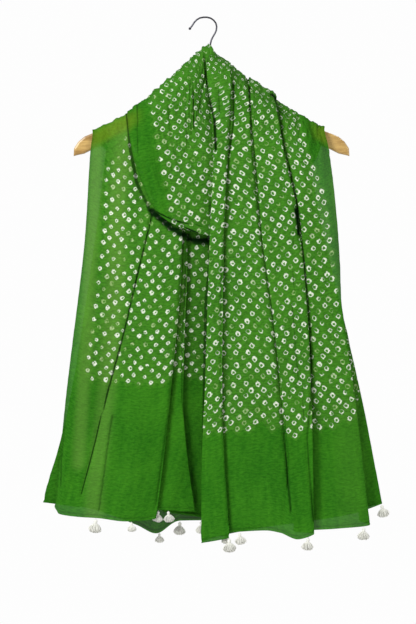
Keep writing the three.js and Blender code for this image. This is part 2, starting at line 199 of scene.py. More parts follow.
def roundArm(x, z, side, bridgeOut=bridge["out"]):
    if side == 0:
        return np.array([x, 0, z], float)
    near = min(z - woodHeight(x), snug["height"])
    far = z - woodHeight(x) - near
    out = woodThickness / 2 + snug["gap"] + snug["out"] * near + bridgeOut * far
    return np.array([x, side * out, z - snug["drop"] - snug["down"] * near - bridge["down"] * far])


def heightOn(profile, x):
    rows = sorted(profile, key=lambda row: row["x"])
    xs, zs = column(rows, "x"), column(rows, "z")
    if x < xs[0] or x > xs[-1]:
        a, b = (0, 1) if x < xs[0] else (-2, -1)
        return zs[a] + (zs[b] - zs[a]) * (x - xs[a]) / (xs[b] - xs[a])
    return np.interp(x, xs, zs)


def topOfLeft(row):
    return woodHeight(row["arm"]) + row["lift"]


def leftArm(side):
    return section(leftEnd, lambda r: roundArm(r["arm"], topOfLeft(r), side))


def rightArm(side):
    def place(row):
        spot = roundArm(row["arm"], row["top"], side, bridge["overOut"])
        if side < 0:
            spot[0] -= lean["right"] * max(0, 1 - row["arm"] / lean["neckHalfWidth"]) ** 2
        return spot

    return section(rightEnd, place)


def crossing(profile, side, shift=0):
    def place(layer):
        start, end = profile[0]["x"], profile[-1]["x"]
        x = start + (end - start) * layer["alongArm"]
        spot = roundArm(x, heightOn(profile, x) - layer["under"] * layerStep, side)
        spot[0] += shift * layer["alongArm"] ** 4
        return spot

    return section(layers, place)


def passing(way):
    def place(layer):
        along = layer["alongArm"] if way["kind"] == "arm" else layer["alongSwag"]
        outer, neck = np.array(way["outer"], float), np.array(way["neck"], float)
        spot = outer + (neck - outer) * along
        spot[1] -= way["facing"] * layer["under"] * layerStep
        return spot

    return section(layers, place)


def endSection(rows, name, height):
    return section(rows, lambda r: (r[name + "X"], r[name + "Y"], height(r)))


# Every line across the cloth that has a place of its own, from the left hem to the right one
sections = [
    endSection(leftEnd, "hem", lambda r: r["hemZ"]),
    endSection(leftEnd, "waist", lambda r: waistZ),
    endSection(leftEnd, "neck", lambda r: necklineZ),
    endSection(leftEnd, "under", lambda r: topOfLeft(r) - underArmDrop),
    *[leftArm(side) for side in (-1, 0, 1)],
    *[passing(way) for way in behindInner],
    *[crossing(rightCrossing, side) for side in (1, 0, -1)],
    *[passing(way) for way in cowl],
    *[crossing(leftCrossing, side, lean["left"] * (side < 0)) for side in (-1, 0, 1)],
    *[passing(way) for way in behindOuter],
    *[rightArm(side) for side in (1, 0, -1)],
    endSection(rightEnd, "under", lambda r: r["top"] - underArmDrop),
    endSection(rightEnd, "shoulder", lambda r: min(shoulderZ, r["top"] - shoulderDrop)),
    endSection(rightEnd, "neck", lambda r: necklineZ),
    endSection(rightEnd, "waist", lambda r: waistZ),
    endSection(rightEnd, "hem", lambda r: r["hemZ"]),
]
# The numbers of the sections that lie on top of the wood
onTop = {"leftArm": 5, "rightTurn": 11, "leftTurn": 18, "rightArm": 24}


def steepness(knots, values):
    rise = np.diff(values, axis=0) / np.diff(knots, axis=0)
    before, after = rise[:-1], rise[1:]
    total = before + after
    same = before * after > 0
    middle = np.where(same, 2 * before * after / np.where(same, total, 1), 0)
    return np.concatenate([rise[:1], middle, rise[-1:]])


def hermite(a, b, slopeA, slopeB, step, t):
    return (
        a * (2 * t**3 - 3 * t**2 + 1)
        + b * (3 * t**2 - 2 * t**3)
        + step * (slopeA * (t**3 - 2 * t**2 + t) + slopeB * (t**3 - t**2))
    )


def acrossSection(rows, cuts):
    knots, values = rows
    slopes = steepness(knots[:, None], values)
    i = np.clip(np.searchsorted(knots, cuts, side="left") - 1, 0, len(knots) - 2)
    step = (knots[i + 1] - knots[i])[:, None]
    t = (cuts - knots[i])[:, None] / step
    return hermite(values[i], values[i + 1], slopes[i], slopes[i + 1], step, t)


# Columns of the fine mesh: even ones, with one on each fold
def columnPlaces(count):
    folds = np.union1d(column(leftEnd, "cut"), column(rightEnd, "cut"))
    even = np.linspace(0, flatWidth, count)
    far = np.abs(even[:, None] - folds[None, :]).min(axis=1) > 0.45 * flatWidth / count
    return np.sort(np.concatenate([folds, even[far]]))


# Rows: even in length along the cloth, and close together at the hems for their rolled edge
def rowPlaces(lengths, spacing):
    last = len(sections) - 1
    hem = np.array([0.0, 0.007, 0.013, 0.019, 0.025])
    places = []
    for i, length in enumerate(lengths):
        count = max(4, round(length / spacing))
        places.append(i + np.arange(count) / count)
    inner = np.concatenate(places)
    inner = inner[(inner > 0.03) & (inner < last - 0.03)]
    return np.concatenate([hem, inner, last - hem[::-1]])


def clothSurface(cuts, spacing):
    spots = np.stack([acrossSection(rows, cuts) for rows in sections])
    apart = np.linalg.norm(np.diff(spots, axis=0), axis=2)
    knots = np.cumsum(np.sqrt(apart) + 0.01, axis=0)
    knots = np.concatenate([np.zeros((1, len(cuts))), knots])[:, :, None]
    slopes = steepness(knots, spots)
    alongs = rowPlaces(apart.mean(axis=1), spacing)
    i = np.minimum(alongs.astype(int), len(sections) - 2)
    t = (alongs - i)[:, None, None]
    step = knots[i + 1] - knots[i]
    return alongs, hermite(spots[i], spots[i + 1], slopes[i], slopes[i + 1], step, t)


def normalsOf(grid):
    down, across = np.gradient(grid, axis=0), np.gradient(grid, axis=1)
    normal = np.cross(down, across)
    return normal / np.maximum(np.linalg.norm(normal, axis=2, keepdims=True), 1e-9)


# Smooth random heights from -1 to 1 over two lengths, in cells of the given size
def rumple(u, v, cellU, cellV, seed):
    values = np.random.default_rng(seed).uniform(-1, 1, (256, 256))
    a, b = u / cellU, v / cellV
    i, j = np.floor(a).astype(int), np.floor(b).astype(int)
    s, t = a - i, b - j
    s, t = s * s * (3 - 2 * s), t * t * (3 - 2 * t)

    def at(di, dj):
        return values[(i + di) % 256, (j + dj) % 256]

    low = at(0, 0) * (1 - s) + at(1, 0) * s
    high = at(0, 1) * (1 - s) + at(1, 1) * s
    return low * (1 - t) + high * t


def ease(x, low, high):
    t = np.clip((x - low) / (high - low), 0, 1)
    return t * t * (3 - 2 * t)


cloth = {
    "columns": 300,
    "rowSpacing": 7.4,
    "hemRoll": 0.9,
    "crumple": 0.9,
    "crumpleHung": 0.4,
    "crumpleTurned": 0.8,
    "gather": 3.0,
    "gatherLift": 0.8,
    "innerGather": 1.1,
    "drape": 2.2,
    "hangsUpTo": (2.2, 4.2),
    "topLayerTo": (380, 430),
}
# Each unevenness is a sum of rumples: share, cell across, cell along and seed
rumples = {
    "gather": [(0.6, 8, 90, 1), (0.5, 4, 40, 2)],
    "drape": [(1, 34, 300, 3), (0.5, 15, 160, 4)],
    "crumple": [(1, 11, 7, 5), (0.6, 6, 4, 6)],
}
# Where the hems and the outer selvedge are rolled and shaded, from their edge
edges = {
    "rollAt": 2.6,
    "hemAt": 5,
    "hemWide": 1.6,
    "hemShade": 0.35,
    "selvedgeAt": 1,
    "selvedgeWide": 1.8,
    "selvedgeShade": 0.3,
}

cuts = columnPlaces(cloth["columns"])
alongs, base = clothSurface(cuts, cloth["rowSpacing"])
alongs = alongs[:, None]
lengths = np.linalg.norm(np.diff(base, axis=0), axis=2)
fromLeft = np.concatenate([np.zeros((1, len(cuts))), np.cumsum(lengths, axis=0)])
fromRight = fromLeft[-1] - fromLeft
widths = np.linalg.norm(np.diff(base, axis=1), axis=2)
fromOuter = np.concatenate([np.zeros((len(base), 1)), np.cumsum(widths, axis=1)], axis=1)
fromInner = fromOuter[:, -1:] - fromOuter

# Creases seen from the front: each is a line of (x, z) in the hanger's frame. The cloth sinks by depth
# along it, within about wide on each side, and dark is how black the painted shade at the bottom of the fold
# is.
# The lines with no depth are painted shadows, cast below the cowl's lower edge and beside the edges of the
# layers in front.
creases = table(
    "alongs wide depth dark line",
    [
        [(0, 4), 1.7, 4, 0.85,
         [(-95, -316), (-116, -401), (-137, -489), (-158, -568), (-183, -665), (-210, -772)]],
        [(0, 3), 2, 3, 0.4, [(-160, -640), (-166, -681), (-173, -736), (-182, -798)]],
        [(0, 4), 1.6, 2, 0.25, [(-46, -362), (-54, -477), (-63, -563), (-71, -649), (-90, -790)]],
        [(0, 4), 1.6, 2, 0.3, [(-40, -362), (-47, -526), (-47, -618), (-40, -676), (-26, -788)]],
        [(0, 3), 1.5, 1, 0.4, [(-235, -633), (-239, -673), (-243, -710), (-245, -759)]],
        [(0, 5), 6.5, 0, 1.0,
         [(-97, -313), (-75, -331), (-67, -339), (-43, -353), (-27, -361), (-2, -361)]],
        [(0, 5), 3, 0, 0.75, [(-136, -150), (-131, -214), (-120, -270), (-101, -307)]],
        [(0, 5), 3, 0, 0.7, [(-2, -312), (-3, -398), (-9, -456), (-12, -618), (-15, -828)]],
        [(14, 18), 1.4, 1, 0.55, [(-17, -243), (-3, -299), (-2, -347)]],
        [(14, 18), 1.8, 3, 0.95,
         [(-88, -314), (-75, -322), (-57, -328), (-35, -345), (-19, -349), (-7, -348)]],
        [(14, 18), 1.5, 2, 0.7, [(-49, -326), (-35, -336), (-6, -336)]],
        [(14, 18), 1.3, 1.5, 0.45, [(-119, -141), (-119, -222), (-112, -233)]],
        [(14, 30), 2, 4, 0.35, [(-11, -61), (-9, -94), (-3, -130)]],
        [(14, 30), 2.4, 5, 0.85, [(-3, -132), (-1, -145), (5, -165), (7, -215)]],
        [(14, 30), 1.7, 3, 0.4, [(12, -115), (13, -160)]],
        [(14, 30), 1.8, 4, 0.55, [(35, -107), (35, -175), (28, -222)]],
        [(14, 30), 1.4, 3, 0.4, [(-29, -115), (-29, -180)]],
        [(25, 30), 1.7, 3, 0.2,
         [(34, -110), (27, -188), (23, -311), (15, -442), (14, -586), (26, -815)]],
        [(25, 30), 1.6, 4, 0.55,
         [(60, -115), (66, -188), (81, -364), (97, -472), (117, -680), (128, -798)]],
        [(25, 30), 1.7, 5, 0.7,
         [(102, -132), (116, -205), (136, -293), (149, -400), (158, -503), (161, -600)]],
        [(26, 30), 2, 4, 0.4, [(161, -600), (153, -680), (164, -815)]],
        [(26, 30), 4, 6, 1.0, [(136, -308), (140, -335), (141, -352)]],
        [(24, 30), 3, 3, 1.0, [(96, -126), (103, -131), (111, -136)]],
        [(26, 30), 1.8, 3, 0.45, [(130, -359), (132, -421), (130, -482), (135, -545), (149, -649)]],
    ],
)
# Painted light: where the cloth hangs as a single sheer layer, the light from behind is painted in as a
# paler green
paintedBacklightBands = table(
    "alongs wide pale line",
    [
        [(0, 4), 11, 0.3,
         [(-185, -215), (-188, -285), (-195, -396), (-201, -503), (-207, -600), (-214, -720)]],
        [(0, 4), 15, 0.26,
         [(-140, -190), (-151, -284), (-155, -433), (-165, -560), (-177, -674), (-188, -749), (-192, -860)]],
        [(26, 30), 7, 0.3, [(196, -200), (208, -330), (220, -480)]],
        [(27, 30), 25, 0.06, [(222, -640), (228, -880)]],
    ],
)


# A crease's painted shade is stored wider than it is, so that the mesh carries it, and the material draws
# it sharp
lineBlur = {"wide": 2.3, "low": 0.74, "high": 0.96}


def distanceTo(line, x, z):
    best = np.full(x.shape, 1e9)
    for (ax, az), (bx, bz) in zip(line[:-1], line[1:]):
        dx, dz = bx - ax, bz - az
        t = np.clip(((x - ax) * dx + (z - az) * dz) / (dx * dx + dz * dz), 0, 1)
        best = np.minimum(best, np.hypot(x - ax - t * dx, z - az - t * dz))
    return best


def ridge(distance, at, wide):
    return np.exp(-(((distance - at) / wide) ** 2))


def uneven(kind):
    return sum(
        share * rumple(fromOuter, fromLeft, across, along, seed)
        for share, across, along, seed in rumples[kind]
    )


# How far every point moves: out of the page for the creases, and along its normal for the rest
normals = normalsOf(base)
outward = np.sign(normals[:, :, 1:2] * base[:, :, 1:2] + 1e-6)
hanging = 1 - ease(np.minimum(alongs, len(sections) - 1 - alongs), *cloth["hangsUpTo"])
turning = 1 - hanging
topLayer = 1 - ease(cuts, *cloth["topLayerTo"])[None, :]
gather, drape, crumple = uneven("gather"), uneven("drape"), uneven("crumple")
outerGather = topLayer * cloth["gather"] * (gather + cloth["gatherLift"])
crumpleShare = cloth["crumpleHung"] + cloth["crumpleTurned"] * turning
rise = turning * (outerGather + (1 - topLayer) * cloth["innerGather"] * gather)
rise = rise + hanging * cloth["drape"] * drape + crumpleShare * crumple * cloth["crumple"]
toHem = np.minimum(fromLeft, fromRight)
rise = rise + cloth["hemRoll"] * ridge(toHem, edges["rollAt"], edges["hemWide"])
surface = base + normals * outward * rise[:, :, None]


def nearLine(row, wide, power):
    near = np.exp(-((distanceTo(row["line"], base[:, :, 0], base[:, :, 2]) / wide) ** power))
    return near * (alongs >= row["alongs"][0]) * (alongs <= row["alongs"][1]) * (base[:, :, 1] < 0)


# Beside each point: how near it is to a crease, how dark that crease's painted shade is, and how much
# painted light from behind makes the sheer cloth paler
paintedFoldShadeNear, paintedFoldShade, sheer = np.zeros((3, *base.shape[:2]))
for crease in creases:
    surface[:, :, 1] += crease["depth"] * nearLine(crease, crease["wide"], 2.5)
    near = nearLine(crease, lineBlur["wide"] * crease["wide"], 2)
    paintedFoldShade = np.where(near > paintedFoldShadeNear, crease["dark"], paintedFoldShade)
    paintedFoldShadeNear = np.maximum(paintedFoldShadeNear, near)
for band in paintedBacklightBands:
    sheer = np.maximum(sheer, band["pale"] * nearLine(band, band["wide"], 3))
# Painted shade: a darker line beside each rolled hem and along the outer selvedge
edgeShade = edges["hemShade"] * ridge(toHem, edges["hemAt"], edges["hemWide"])
edgeShade += edges["selvedgeShade"] * ridge(fromOuter, edges["selvedgeAt"], edges["selvedgeWide"])
# The cloth is drawn up round the hook
upHook = {"height": 5.5, "x": -2, "wide": 8, "from": -72, "to": -52}
nearHook = ridge(base[:, :, 0], upHook["x"], upHook["wide"])
surface[:, :, 2] += upHook["height"] * nearHook * ease(base[:, :, 2], upHook["from"], upHook["to"])
surface[:, :, 0] += hookOffset

# The wood shows through on both arms, and the left arm's outer corner has no dots above a slanting line
armSeen = {"below": 11, "half": 13, "left": (100, 140), "right": (150, 180), "tint": 0.3}
corner = {"x": -138, "z": -192, "slope": 1.67, "soft": 5, "upToSection": 6, "leftOf": -60}
x, z = base[:, :, 0], base[:, :, 2]
onArm = np.exp(-(((z - woodHeight(x) + armSeen["below"]) / armSeen["half"]) ** 4)) * (base[:, :, 1] < 0)
onArm = onArm * np.maximum(ease(-x, *armSeen["left"]), ease(x, *armSeen["right"]))
onArm = onArm * armSeen["tint"]
aboveCorner = z - corner["z"] - corner["slope"] * np.minimum(0, x - corner["x"])
undotted = ease(aboveCorner, -corner["soft"], corner["soft"])
undotted = undotted * (alongs <= corner["upToSection"]) * (x < corner["leftOf"])

# The pattern's own coordinates, in millimetres of real cloth: across from the nearer selvedge, and along
# from the hem on each hanging end. wide is how much of the selvedge is turned under.
tucks = table("along wide", [[0, 12], [5, 12], [24, 15.5], [27, 15.5], [28, 27], [30, 27]])
turnedUnder = np.interp(alongs, column(tucks, "along"), column(tucks, "wide"))
# Where each part of the course lies in the pattern, and where its inner edge does
patternAt = {"behindInner": 1600, "cowl": 2400, "behindOuter": 3200, "rightHem": 4800, "innerEdge": 2000}
# The turn round the neck. The cowl lies like a flat sheet, a little turned, with its first dots on a line
# from (x, z). Behind, the pattern follows the low selvedge.
cowlPlane = {"x": -99, "z": -127.8, "turn": math.radians(10.5), "firstDots": 44, "neckFrom": -120}
sideOfArm = {"out": 14, "fall": 0.7}
gathers = {"at": 85, "wide": 22, "full": 9}
# Towards the neck the gathers draw the dots closer, by this share, within reach below the arms' top
pinch = {"cowl": 0.25, "end": 0.25, "reach": 120, "middle": 145}


def heightOverArm():
    return base[:, :, 2] + sideOfArm["fall"] * np.maximum(0, sideOfArm["out"] - np.abs(base[:, :, 1]))


def drawnUp(below):
    inside = pinch["reach"] / 2 - below + below**2 / (2 * pinch["reach"])
    return np.where(below < 0, pinch["reach"] / 2 - below, np.where(below < pinch["reach"], inside, 0))


def cowlPlaces():
    x, z = base[:, :, 0] - cowlPlane["x"], heightOverArm() - cowlPlane["z"]
    cos, sin = math.cos(cowlPlane["turn"]), math.sin(cowlPlane["turn"])
    out = x * cos + z * sin
    nearNeck = ease(z, cowlPlane["neckFrom"], 0)
    out = out + gathers["full"] * nearNeck * (1 + np.tanh((out - gathers["at"]) / gathers["wide"]))
    out = out + pinch["cowl"] * nearNeck * np.maximum(0, out - gathers["at"] / 2)
    along = x * sin - z * cos - pinch["cowl"] * drawnUp(-z)
    return cowlPlane["firstDots"] + out, patternAt["cowl"] + along


def behindPlaces(start, end, part):
    rows = (alongs[:, 0] >= onTop[start]) & (alongs[:, 0] <= onTop[end])
    order = np.argsort(base[rows, 0, 0])
    edgeX, edgeZ = base[rows, 0, 0][order], base[rows, 0, 2][order]
    x = base[:, :, 0]
    return heightOverArm() - np.interp(x, edgeX, edgeZ), patternAt[part] + x


def rightEndPlaces():
    below = woodHeight(base[:, :, 0]) - heightOverArm()
    nearTop = 1 - ease(below, 0, pinch["reach"])
    out = fromOuter + turnedUnder
    out = out + pinch["end"] * nearTop * (out - pinch["middle"])
    return out, patternAt["rightHem"] - fromRight - pinch["end"] * drawnUp(below)


gatheredFrom = (-190, -80)
gathered = ease(base[:, :, 2], *gatheredFrom)
foldedEdge = 470
# The baking map holds the cloth in two halves side by side, parted at a section
bakeMap = {"partedAt": 15, "fill": 0.98, "edge": 0.01, "halfWidth": 0.48, "nextHalf": 0.5}


def clothMesh():
    rows, columns = surface.shape[:2]
    index = np.arange(rows * columns).reshape(rows, columns)
    corners = [index[:-1, :-1], index[1:, :-1], index[1:, 1:], index[:-1, 1:]]
    faces = np.stack(corners, axis=2).reshape(-1, 4)
    mesh = bpy.data.meshes.new("stole_cloth")
    mesh.from_pydata((surface.reshape(-1, 3) * mm).tolist(), [], faces.tolist())
    faceAlong = np.repeat(alongs[:-1, 0], columns - 1)
    faceCut = np.tile(cuts[:-1], rows - 1)
    hung = (fromOuter + turnedUnder, fromLeft)
    parts = [
        (0, hung),
        (onTop["leftArm"], behindPlaces("leftArm", "rightTurn", "behindInner")),
        (onTop["rightTurn"], cowlPlaces()),
        (onTop["leftTurn"], behindPlaces("leftTurn", "rightArm", "behindOuter")),
        (onTop["rightArm"], rightEndPlaces()),
    ]
    across, along = np.zeros(faces.shape), np.zeros(faces.shape)
    for start, (partAcross, partAlong) in parts:
        after = faceAlong >= start - 1e-6
        across[after] = partAcross.ravel()[faces][after]
        along[after] = partAlong.ravel()[faces][after]
    inner = faceCut >= foldedEdge
    across[inner] = patternAt["innerEdge"] - fromInner.ravel()[faces][inner]
    pattern = mesh.uv_layers.new(name="pattern")
    pattern.data.foreach_set("uv", (np.stack([across, along], axis=2) * mm).ravel())
    spread = mesh.uv_layers.new(name="OFBake")
    half = (faceAlong >= bakeMap["partedAt"])[:, None]
    v = (fromLeft / fromLeft[-1]).ravel()[faces]
    u = np.tile(cuts / flatWidth, rows)[faces]
    middle = v[faceAlong < bakeMap["partedAt"]].max()
    low = middle * bakeMap["fill"]
    v = np.where(half, (v - low) / (1 - low), v / middle) * bakeMap["fill"] + bakeMap["edge"]
    u = u * bakeMap["halfWidth"] + bakeMap["edge"] + half * bakeMap["nextHalf"]
    spread.data.foreach_set("uv", np.stack([u, v], axis=2).ravel())
    for name, values in (
        ("painted_fold_shade_near", paintedFoldShadeNear),
        ("painted_fold_shade", paintedFoldShade),
        ("edge_shade", edgeShade),
        ("gathered", gathered),
        ("sheer", sheer),
        ("wood_behind", onArm),
        ("undotted", undotted),
    ):
        mesh.attributes.new(name, "FLOAT", "POINT").data.foreach_set("value", values.ravel())
    mesh.polygons.foreach_set("use_smooth", np.ones(len(faces), bool))
    mesh.update()
    piece = bpy.data.objects.new("stole_cloth", mesh)
    bpy.context.collection.objects.link(piece)
    return piece


# Short ways to write nodes
class Nodes:
    def __init__(self, tree):
        self.tree = tree

    def node(self, kind, inputs=(), **settings):
        made = self.tree.nodes.new(kind)
        for name, value in settings.items():
            setattr(made, name, value)
        for socket, value in dict(inputs).items():
            self.put(made.inputs[socket], value)
        return made

    def put(self, socket, value):
        if isinstance(value, bpy.types.NodeSocket):
            self.tree.links.new(value, socket)
        else:
            socket.default_value = value

    def math(self, operation, a, b=0.0, clamp=False):
        made = self.node("ShaderNodeMath", {0: a, 1: b}, operation=operation, use_clamp=clamp)
        return made.outputs[0]

    def vector(self, operation, a, b=(0, 0, 0), scale=1.0, output="Vector"):
        made = self.node("ShaderNodeVectorMath", {0: a, 1: b, 3: scale}, operation=operation)
        return made.outputs[output]


class Shader(Nodes):
    def __init__(self, name):
        self.material = bpy.data.materials.new(name)
        self.material.use_nodes = True
        super().__init__(self.material.node_tree)
        self.base = next(n for n in self.tree.nodes if n.type == "BSDF_PRINCIPLED")

    def step(self, value, low, high):
        made = self.node(
            "ShaderNodeMapRange",
            {"Value": value, "From Min": low, "From Max": high},
            interpolation_type="SMOOTHSTEP",
        )
        return made.outputs["Result"]

    def point(self, name):
        return self.node("ShaderNodeAttribute", attribute_name=name).outputs["Fac"]

    def mix(self, share, a, b):
        made = self.node("ShaderNodeMix", {0: share, 6: a, 7: b}, data_type="RGBA")
        return made.outputs[2]

    def noise(self, vector, scale, detail=2.0, rough=0.5, kind="3D"):
        made = self.node(
            "ShaderNodeTexNoise",
            {"Vector": vector, "Scale": scale, "Detail": detail, "Roughness": rough},
            noise_dimensions=kind,
        )
        return made.outputs["Fac"]

    def bump(self, height, distance, strength=1.0):
        made = self.node("ShaderNodeBump", {"Height": height, "Distance": distance, "Strength": strength})
        self.put(self.base.inputs["Normal"], made.outputs["Normal"])

    def objectPlace(self, scale=(1, 1, 1)):
        place = self.node("ShaderNodeTexCoord").outputs["Object"]
        return self.node("ShaderNodeMapping", {"Vector": place, "Scale": scale}).outputs["Vector"]

    def finish(self, **values):
        for name, value in values.items():
            self.base.inputs[name.replace("_", " ")].default_value = value
        return self.material


def rgb(red, green, blue):
    linear = [c / 12.92 if c <= 0.04045 else ((c + 0.055) / 1.055) ** 2.4 for c in (red, green, blue)]
    return (*linear, 1)


dots = {
    "halfAcross": 9.6 * mm,
    "halfAlong": 10.3 * mm,
    "outer": 0.275,
    "inner": 0.13,
    "phase": 6.5 * mm,
    "selvedge": 39 * mm,
    "leftBorder": 222 * mm,
    "rightBorder": 165 * mm,
    "leftEndTo": 1300 * mm,
    "uneven": 0.26,
    "strayScale": 320.0,
    "stray": 0.2,
    "offCentre": 0.16,
    "varies": 0.08,
    "biggerOnRight": 0.04,
    "smallerGathered": 0.035,
    "wear": {"scale": 260.0, "by": 1.1, "least": 0.33, "weakFrom": 0.6, "weakBy": 0.6},
}
# The cloth's dyes, and the colours of painted light and shade: sheer is painted light from behind, fold is
# painted shade, and the two crinkle colours paint the crinkles' shade and light
dyesAndPaintedLight = {
    "dark": (0.15, 0.42, 0.07),
    "light": (0.23, 0.51, 0.10),
    "paintedCrinkleShade": (0.11, 0.35, 0.05),
    "paintedCrinkleLight": (0.26, 0.55, 0.12),
    "amongDots": (0.44, 0.63, 0.26),
    "sheer": (0.49, 0.67, 0.29),
    "overWood": (0.54, 0.56, 0.12),
    "fold": (0.02, 0.13, 0.02),
    "undyed": (0.93, 0.96, 0.88),
    "weakDot": (0.76, 0.88, 0.48),
}


def dyedCotton():
    s = Shader("dyed_cotton")
    place = s.node("ShaderNodeUVMap", uv_map="pattern").outputs["UV"]
    uv = s.node("ShaderNodeSeparateXYZ", {0: place}).outputs
    across = s.math("DIVIDE", s.math("ADD", uv["X"], dots["phase"]), 2 * dots["halfAcross"])
    along = s.math("DIVIDE", uv["Y"], 2 * dots["halfAlong"])
    lattice = s.node(
        "ShaderNodeCombineXYZ",
        {"X": s.math("ADD", across, along), "Y": s.math("SUBTRACT", across, along)},
    ).outputs[0]
    # The hand-tied dots stray a little, and no two rings are quite alike
    stray = s.node(
        "ShaderNodeTexNoise",
        {"Vector": place, "Scale": dots["strayScale"], "Detail": 1.0},
        noise_dimensions="2D",
    ).outputs["Color"]
    stray = s.vector("SCALE", s.vector("SUBTRACT", stray, (0.5, 0.5, 0.5)), scale=dots["stray"])
    moved = s.vector("ADD", lattice, stray)
    cell = s.node(
        "ShaderNodeTexVoronoi",
        {"Vector": moved, "Scale": 1.0, "Randomness": dots["uneven"], "Exponent": 3.0},
        voronoi_dimensions="2D",
        distance="MINKOWSKI",
        feature="F1",
    ).outputs
    chance = s.node("ShaderNodeSeparateColor", {0: cell["Color"]}).outputs
    centre = s.node("ShaderNodeSeparateXYZ", {0: cell["Position"]}).outputs
    centreAcross = s.math("MULTIPLY", s.math("ADD", centre["X"], centre["Y"]), dots["halfAcross"])
    centreAcross = s.math("SUBTRACT", centreAcross, dots["phase"])
    centreAlong = s.math("MULTIPLY", s.math("SUBTRACT", centre["X"], centre["Y"]), dots["halfAlong"])
    field = s.math("GREATER_THAN", centreAcross, dots["selvedge"])
    for value, limit, test in (
        (centreAcross, patternAt["innerEdge"] * mm - dots["selvedge"], "LESS_THAN"),
        (centreAlong, dots["leftBorder"], "GREATER_THAN"),
        (centreAlong, patternAt["rightHem"] * mm - dots["rightBorder"], "LESS_THAN"),
    ):
        field = s.math("MULTIPLY", field, s.math(test, value, limit))
    # Many dots of the left end are small compact spots with hardly a green centre
    onRight = s.math("GREATER_THAN", centreAlong, dots["leftEndTo"])
    outer = s.math("ADD", s.math("MULTIPLY", chance["Red"], dots["varies"]), dots["outer"] - 0.1)
    outer = s.math("ADD", outer, s.math("MULTIPLY", onRight, dots["biggerOnRight"]))
    smaller = s.math("MULTIPLY", s.point("gathered"), dots["smallerGathered"])
    outer = s.math("SUBTRACT", outer, smaller)
    onRight = s.math("ADD", s.math("MULTIPLY", onRight, 0.5), 0.5)
    inner = s.math("ADD", s.math("MULTIPLY", chance["Green"], dots["varies"]), dots["inner"] - 0.02)
    inner = s.math("MULTIPLY", inner, onRight)
    outside = s.step(cell["Distance"], s.math("SUBTRACT", outer, 0.05), s.math("ADD", outer, 0.04))
    disc = s.math("SUBTRACT", 1.0, outside)
    offCentre = s.vector("SUBTRACT", cell["Color"], (0.5, 0.5, 0.5))
    offCentre = s.vector("SCALE", offCentre, scale=dots["offCentre"])
    fromHole = s.vector("SUBTRACT", s.vector("SUBTRACT", moved, cell["Position"]), offCentre)
    flat = s.vector("MULTIPLY", fromHole, (1, 1, 0))
    fromHole = s.vector("LENGTH", flat, (0, 0, 0), output="Value")
    outsideHole = s.step(fromHole, s.math("SUBTRACT", inner, 0.03), s.math("ADD", inner, 0.06))
    ring = s.math("MULTIPLY", disc, outsideHole)
    wear = dots["wear"]
    patchy = s.noise(place, wear["scale"], 1.0, 0.5, "2D")
    patchy = s.math("ADD", s.math("MULTIPLY", patchy, wear["by"]), wear["least"])
    weak = s.step(chance["Blue"], wear["weakFrom"], 1.0)
    strength = s.math("SUBTRACT", patchy, s.math("MULTIPLY", weak, wear["weakBy"]))
    white = s.math("MULTIPLY", s.math("MULTIPLY", ring, field), strength, clamp=True)
    white = s.math("MULTIPLY", white, s.math("SUBTRACT", 1.0, s.point("undotted")))
    blotch = s.noise(place, 9.0, 3.0, 0.6, "2D")
    streaks = s.node("ShaderNodeMapping", {"Vector": place, "Scale": (120, 14, 1)}).outputs[0]
    streak = s.noise(streaks, 1.0, 3.0, 0.6, "2D")
    tone = s.math("ADD", s.math("MULTIPLY", blotch, 0.6), s.math("MULTIPLY", streak, 0.4))
    green = s.mix(s.step(tone, 0.3, 0.7), rgb(*dyesAndPaintedLight["dark"]), rgb(*dyesAndPaintedLight["light"]))
    undyed = s.mix(s.math("MULTIPLY", weak, 0.7), rgb(*dyesAndPaintedLight["undyed"]), rgb(*dyesAndPaintedLight["weakDot"]))
    # Painted shade and light of the crinkles: a fine crosswise mottle of darker and lighter green
    wrinkles = s.node("ShaderNodeMapping", {"Vector": place, "Scale": (130, 400, 1)}).outputs[0]
    fine = s.noise(wrinkles, 1.0, 3.0, 0.6, "2D")
    paintedCrinkleMottle = s.mix(s.step(fine, 0.33, 0.66), rgb(*dyesAndPaintedLight["paintedCrinkleShade"]), rgb(*dyesAndPaintedLight["paintedCrinkleLight"]))
    green = s.mix(s.math("ADD", 0.3, s.math("MULTIPLY", field, 0.18)), green, paintedCrinkleMottle)
    green = s.mix(s.math("MULTIPLY", field, 0.13), green, rgb(*dyesAndPaintedLight["amongDots"]))
    # Painted light from behind, paler where the cloth hangs as a single sheer layer
    green = s.mix(s.point("sheer"), green, rgb(*dyesAndPaintedLight["sheer"]))
    green = s.mix(s.point("wood_behind"), green, rgb(*dyesAndPaintedLight["overWood"]))
    dyedWithPaintedLight = s.mix(white, green, undyed)
    # Painted shade: the creases, the shadows cast under the layers' edges, and the lines beside the hems and
    # the outer selvedge darken the colour towards the fold colour
    depth = s.step(s.point("painted_fold_shade_near"), lineBlur["low"], lineBlur["high"])
    depth = s.math("MAXIMUM", s.math("MULTIPLY", depth, s.point("painted_fold_shade")), s.point("edge_shade"))
    s.put(s.base.inputs["Base Color"], s.mix(depth, dyedWithPaintedLight, rgb(*dyesAndPaintedLight["fold"])))
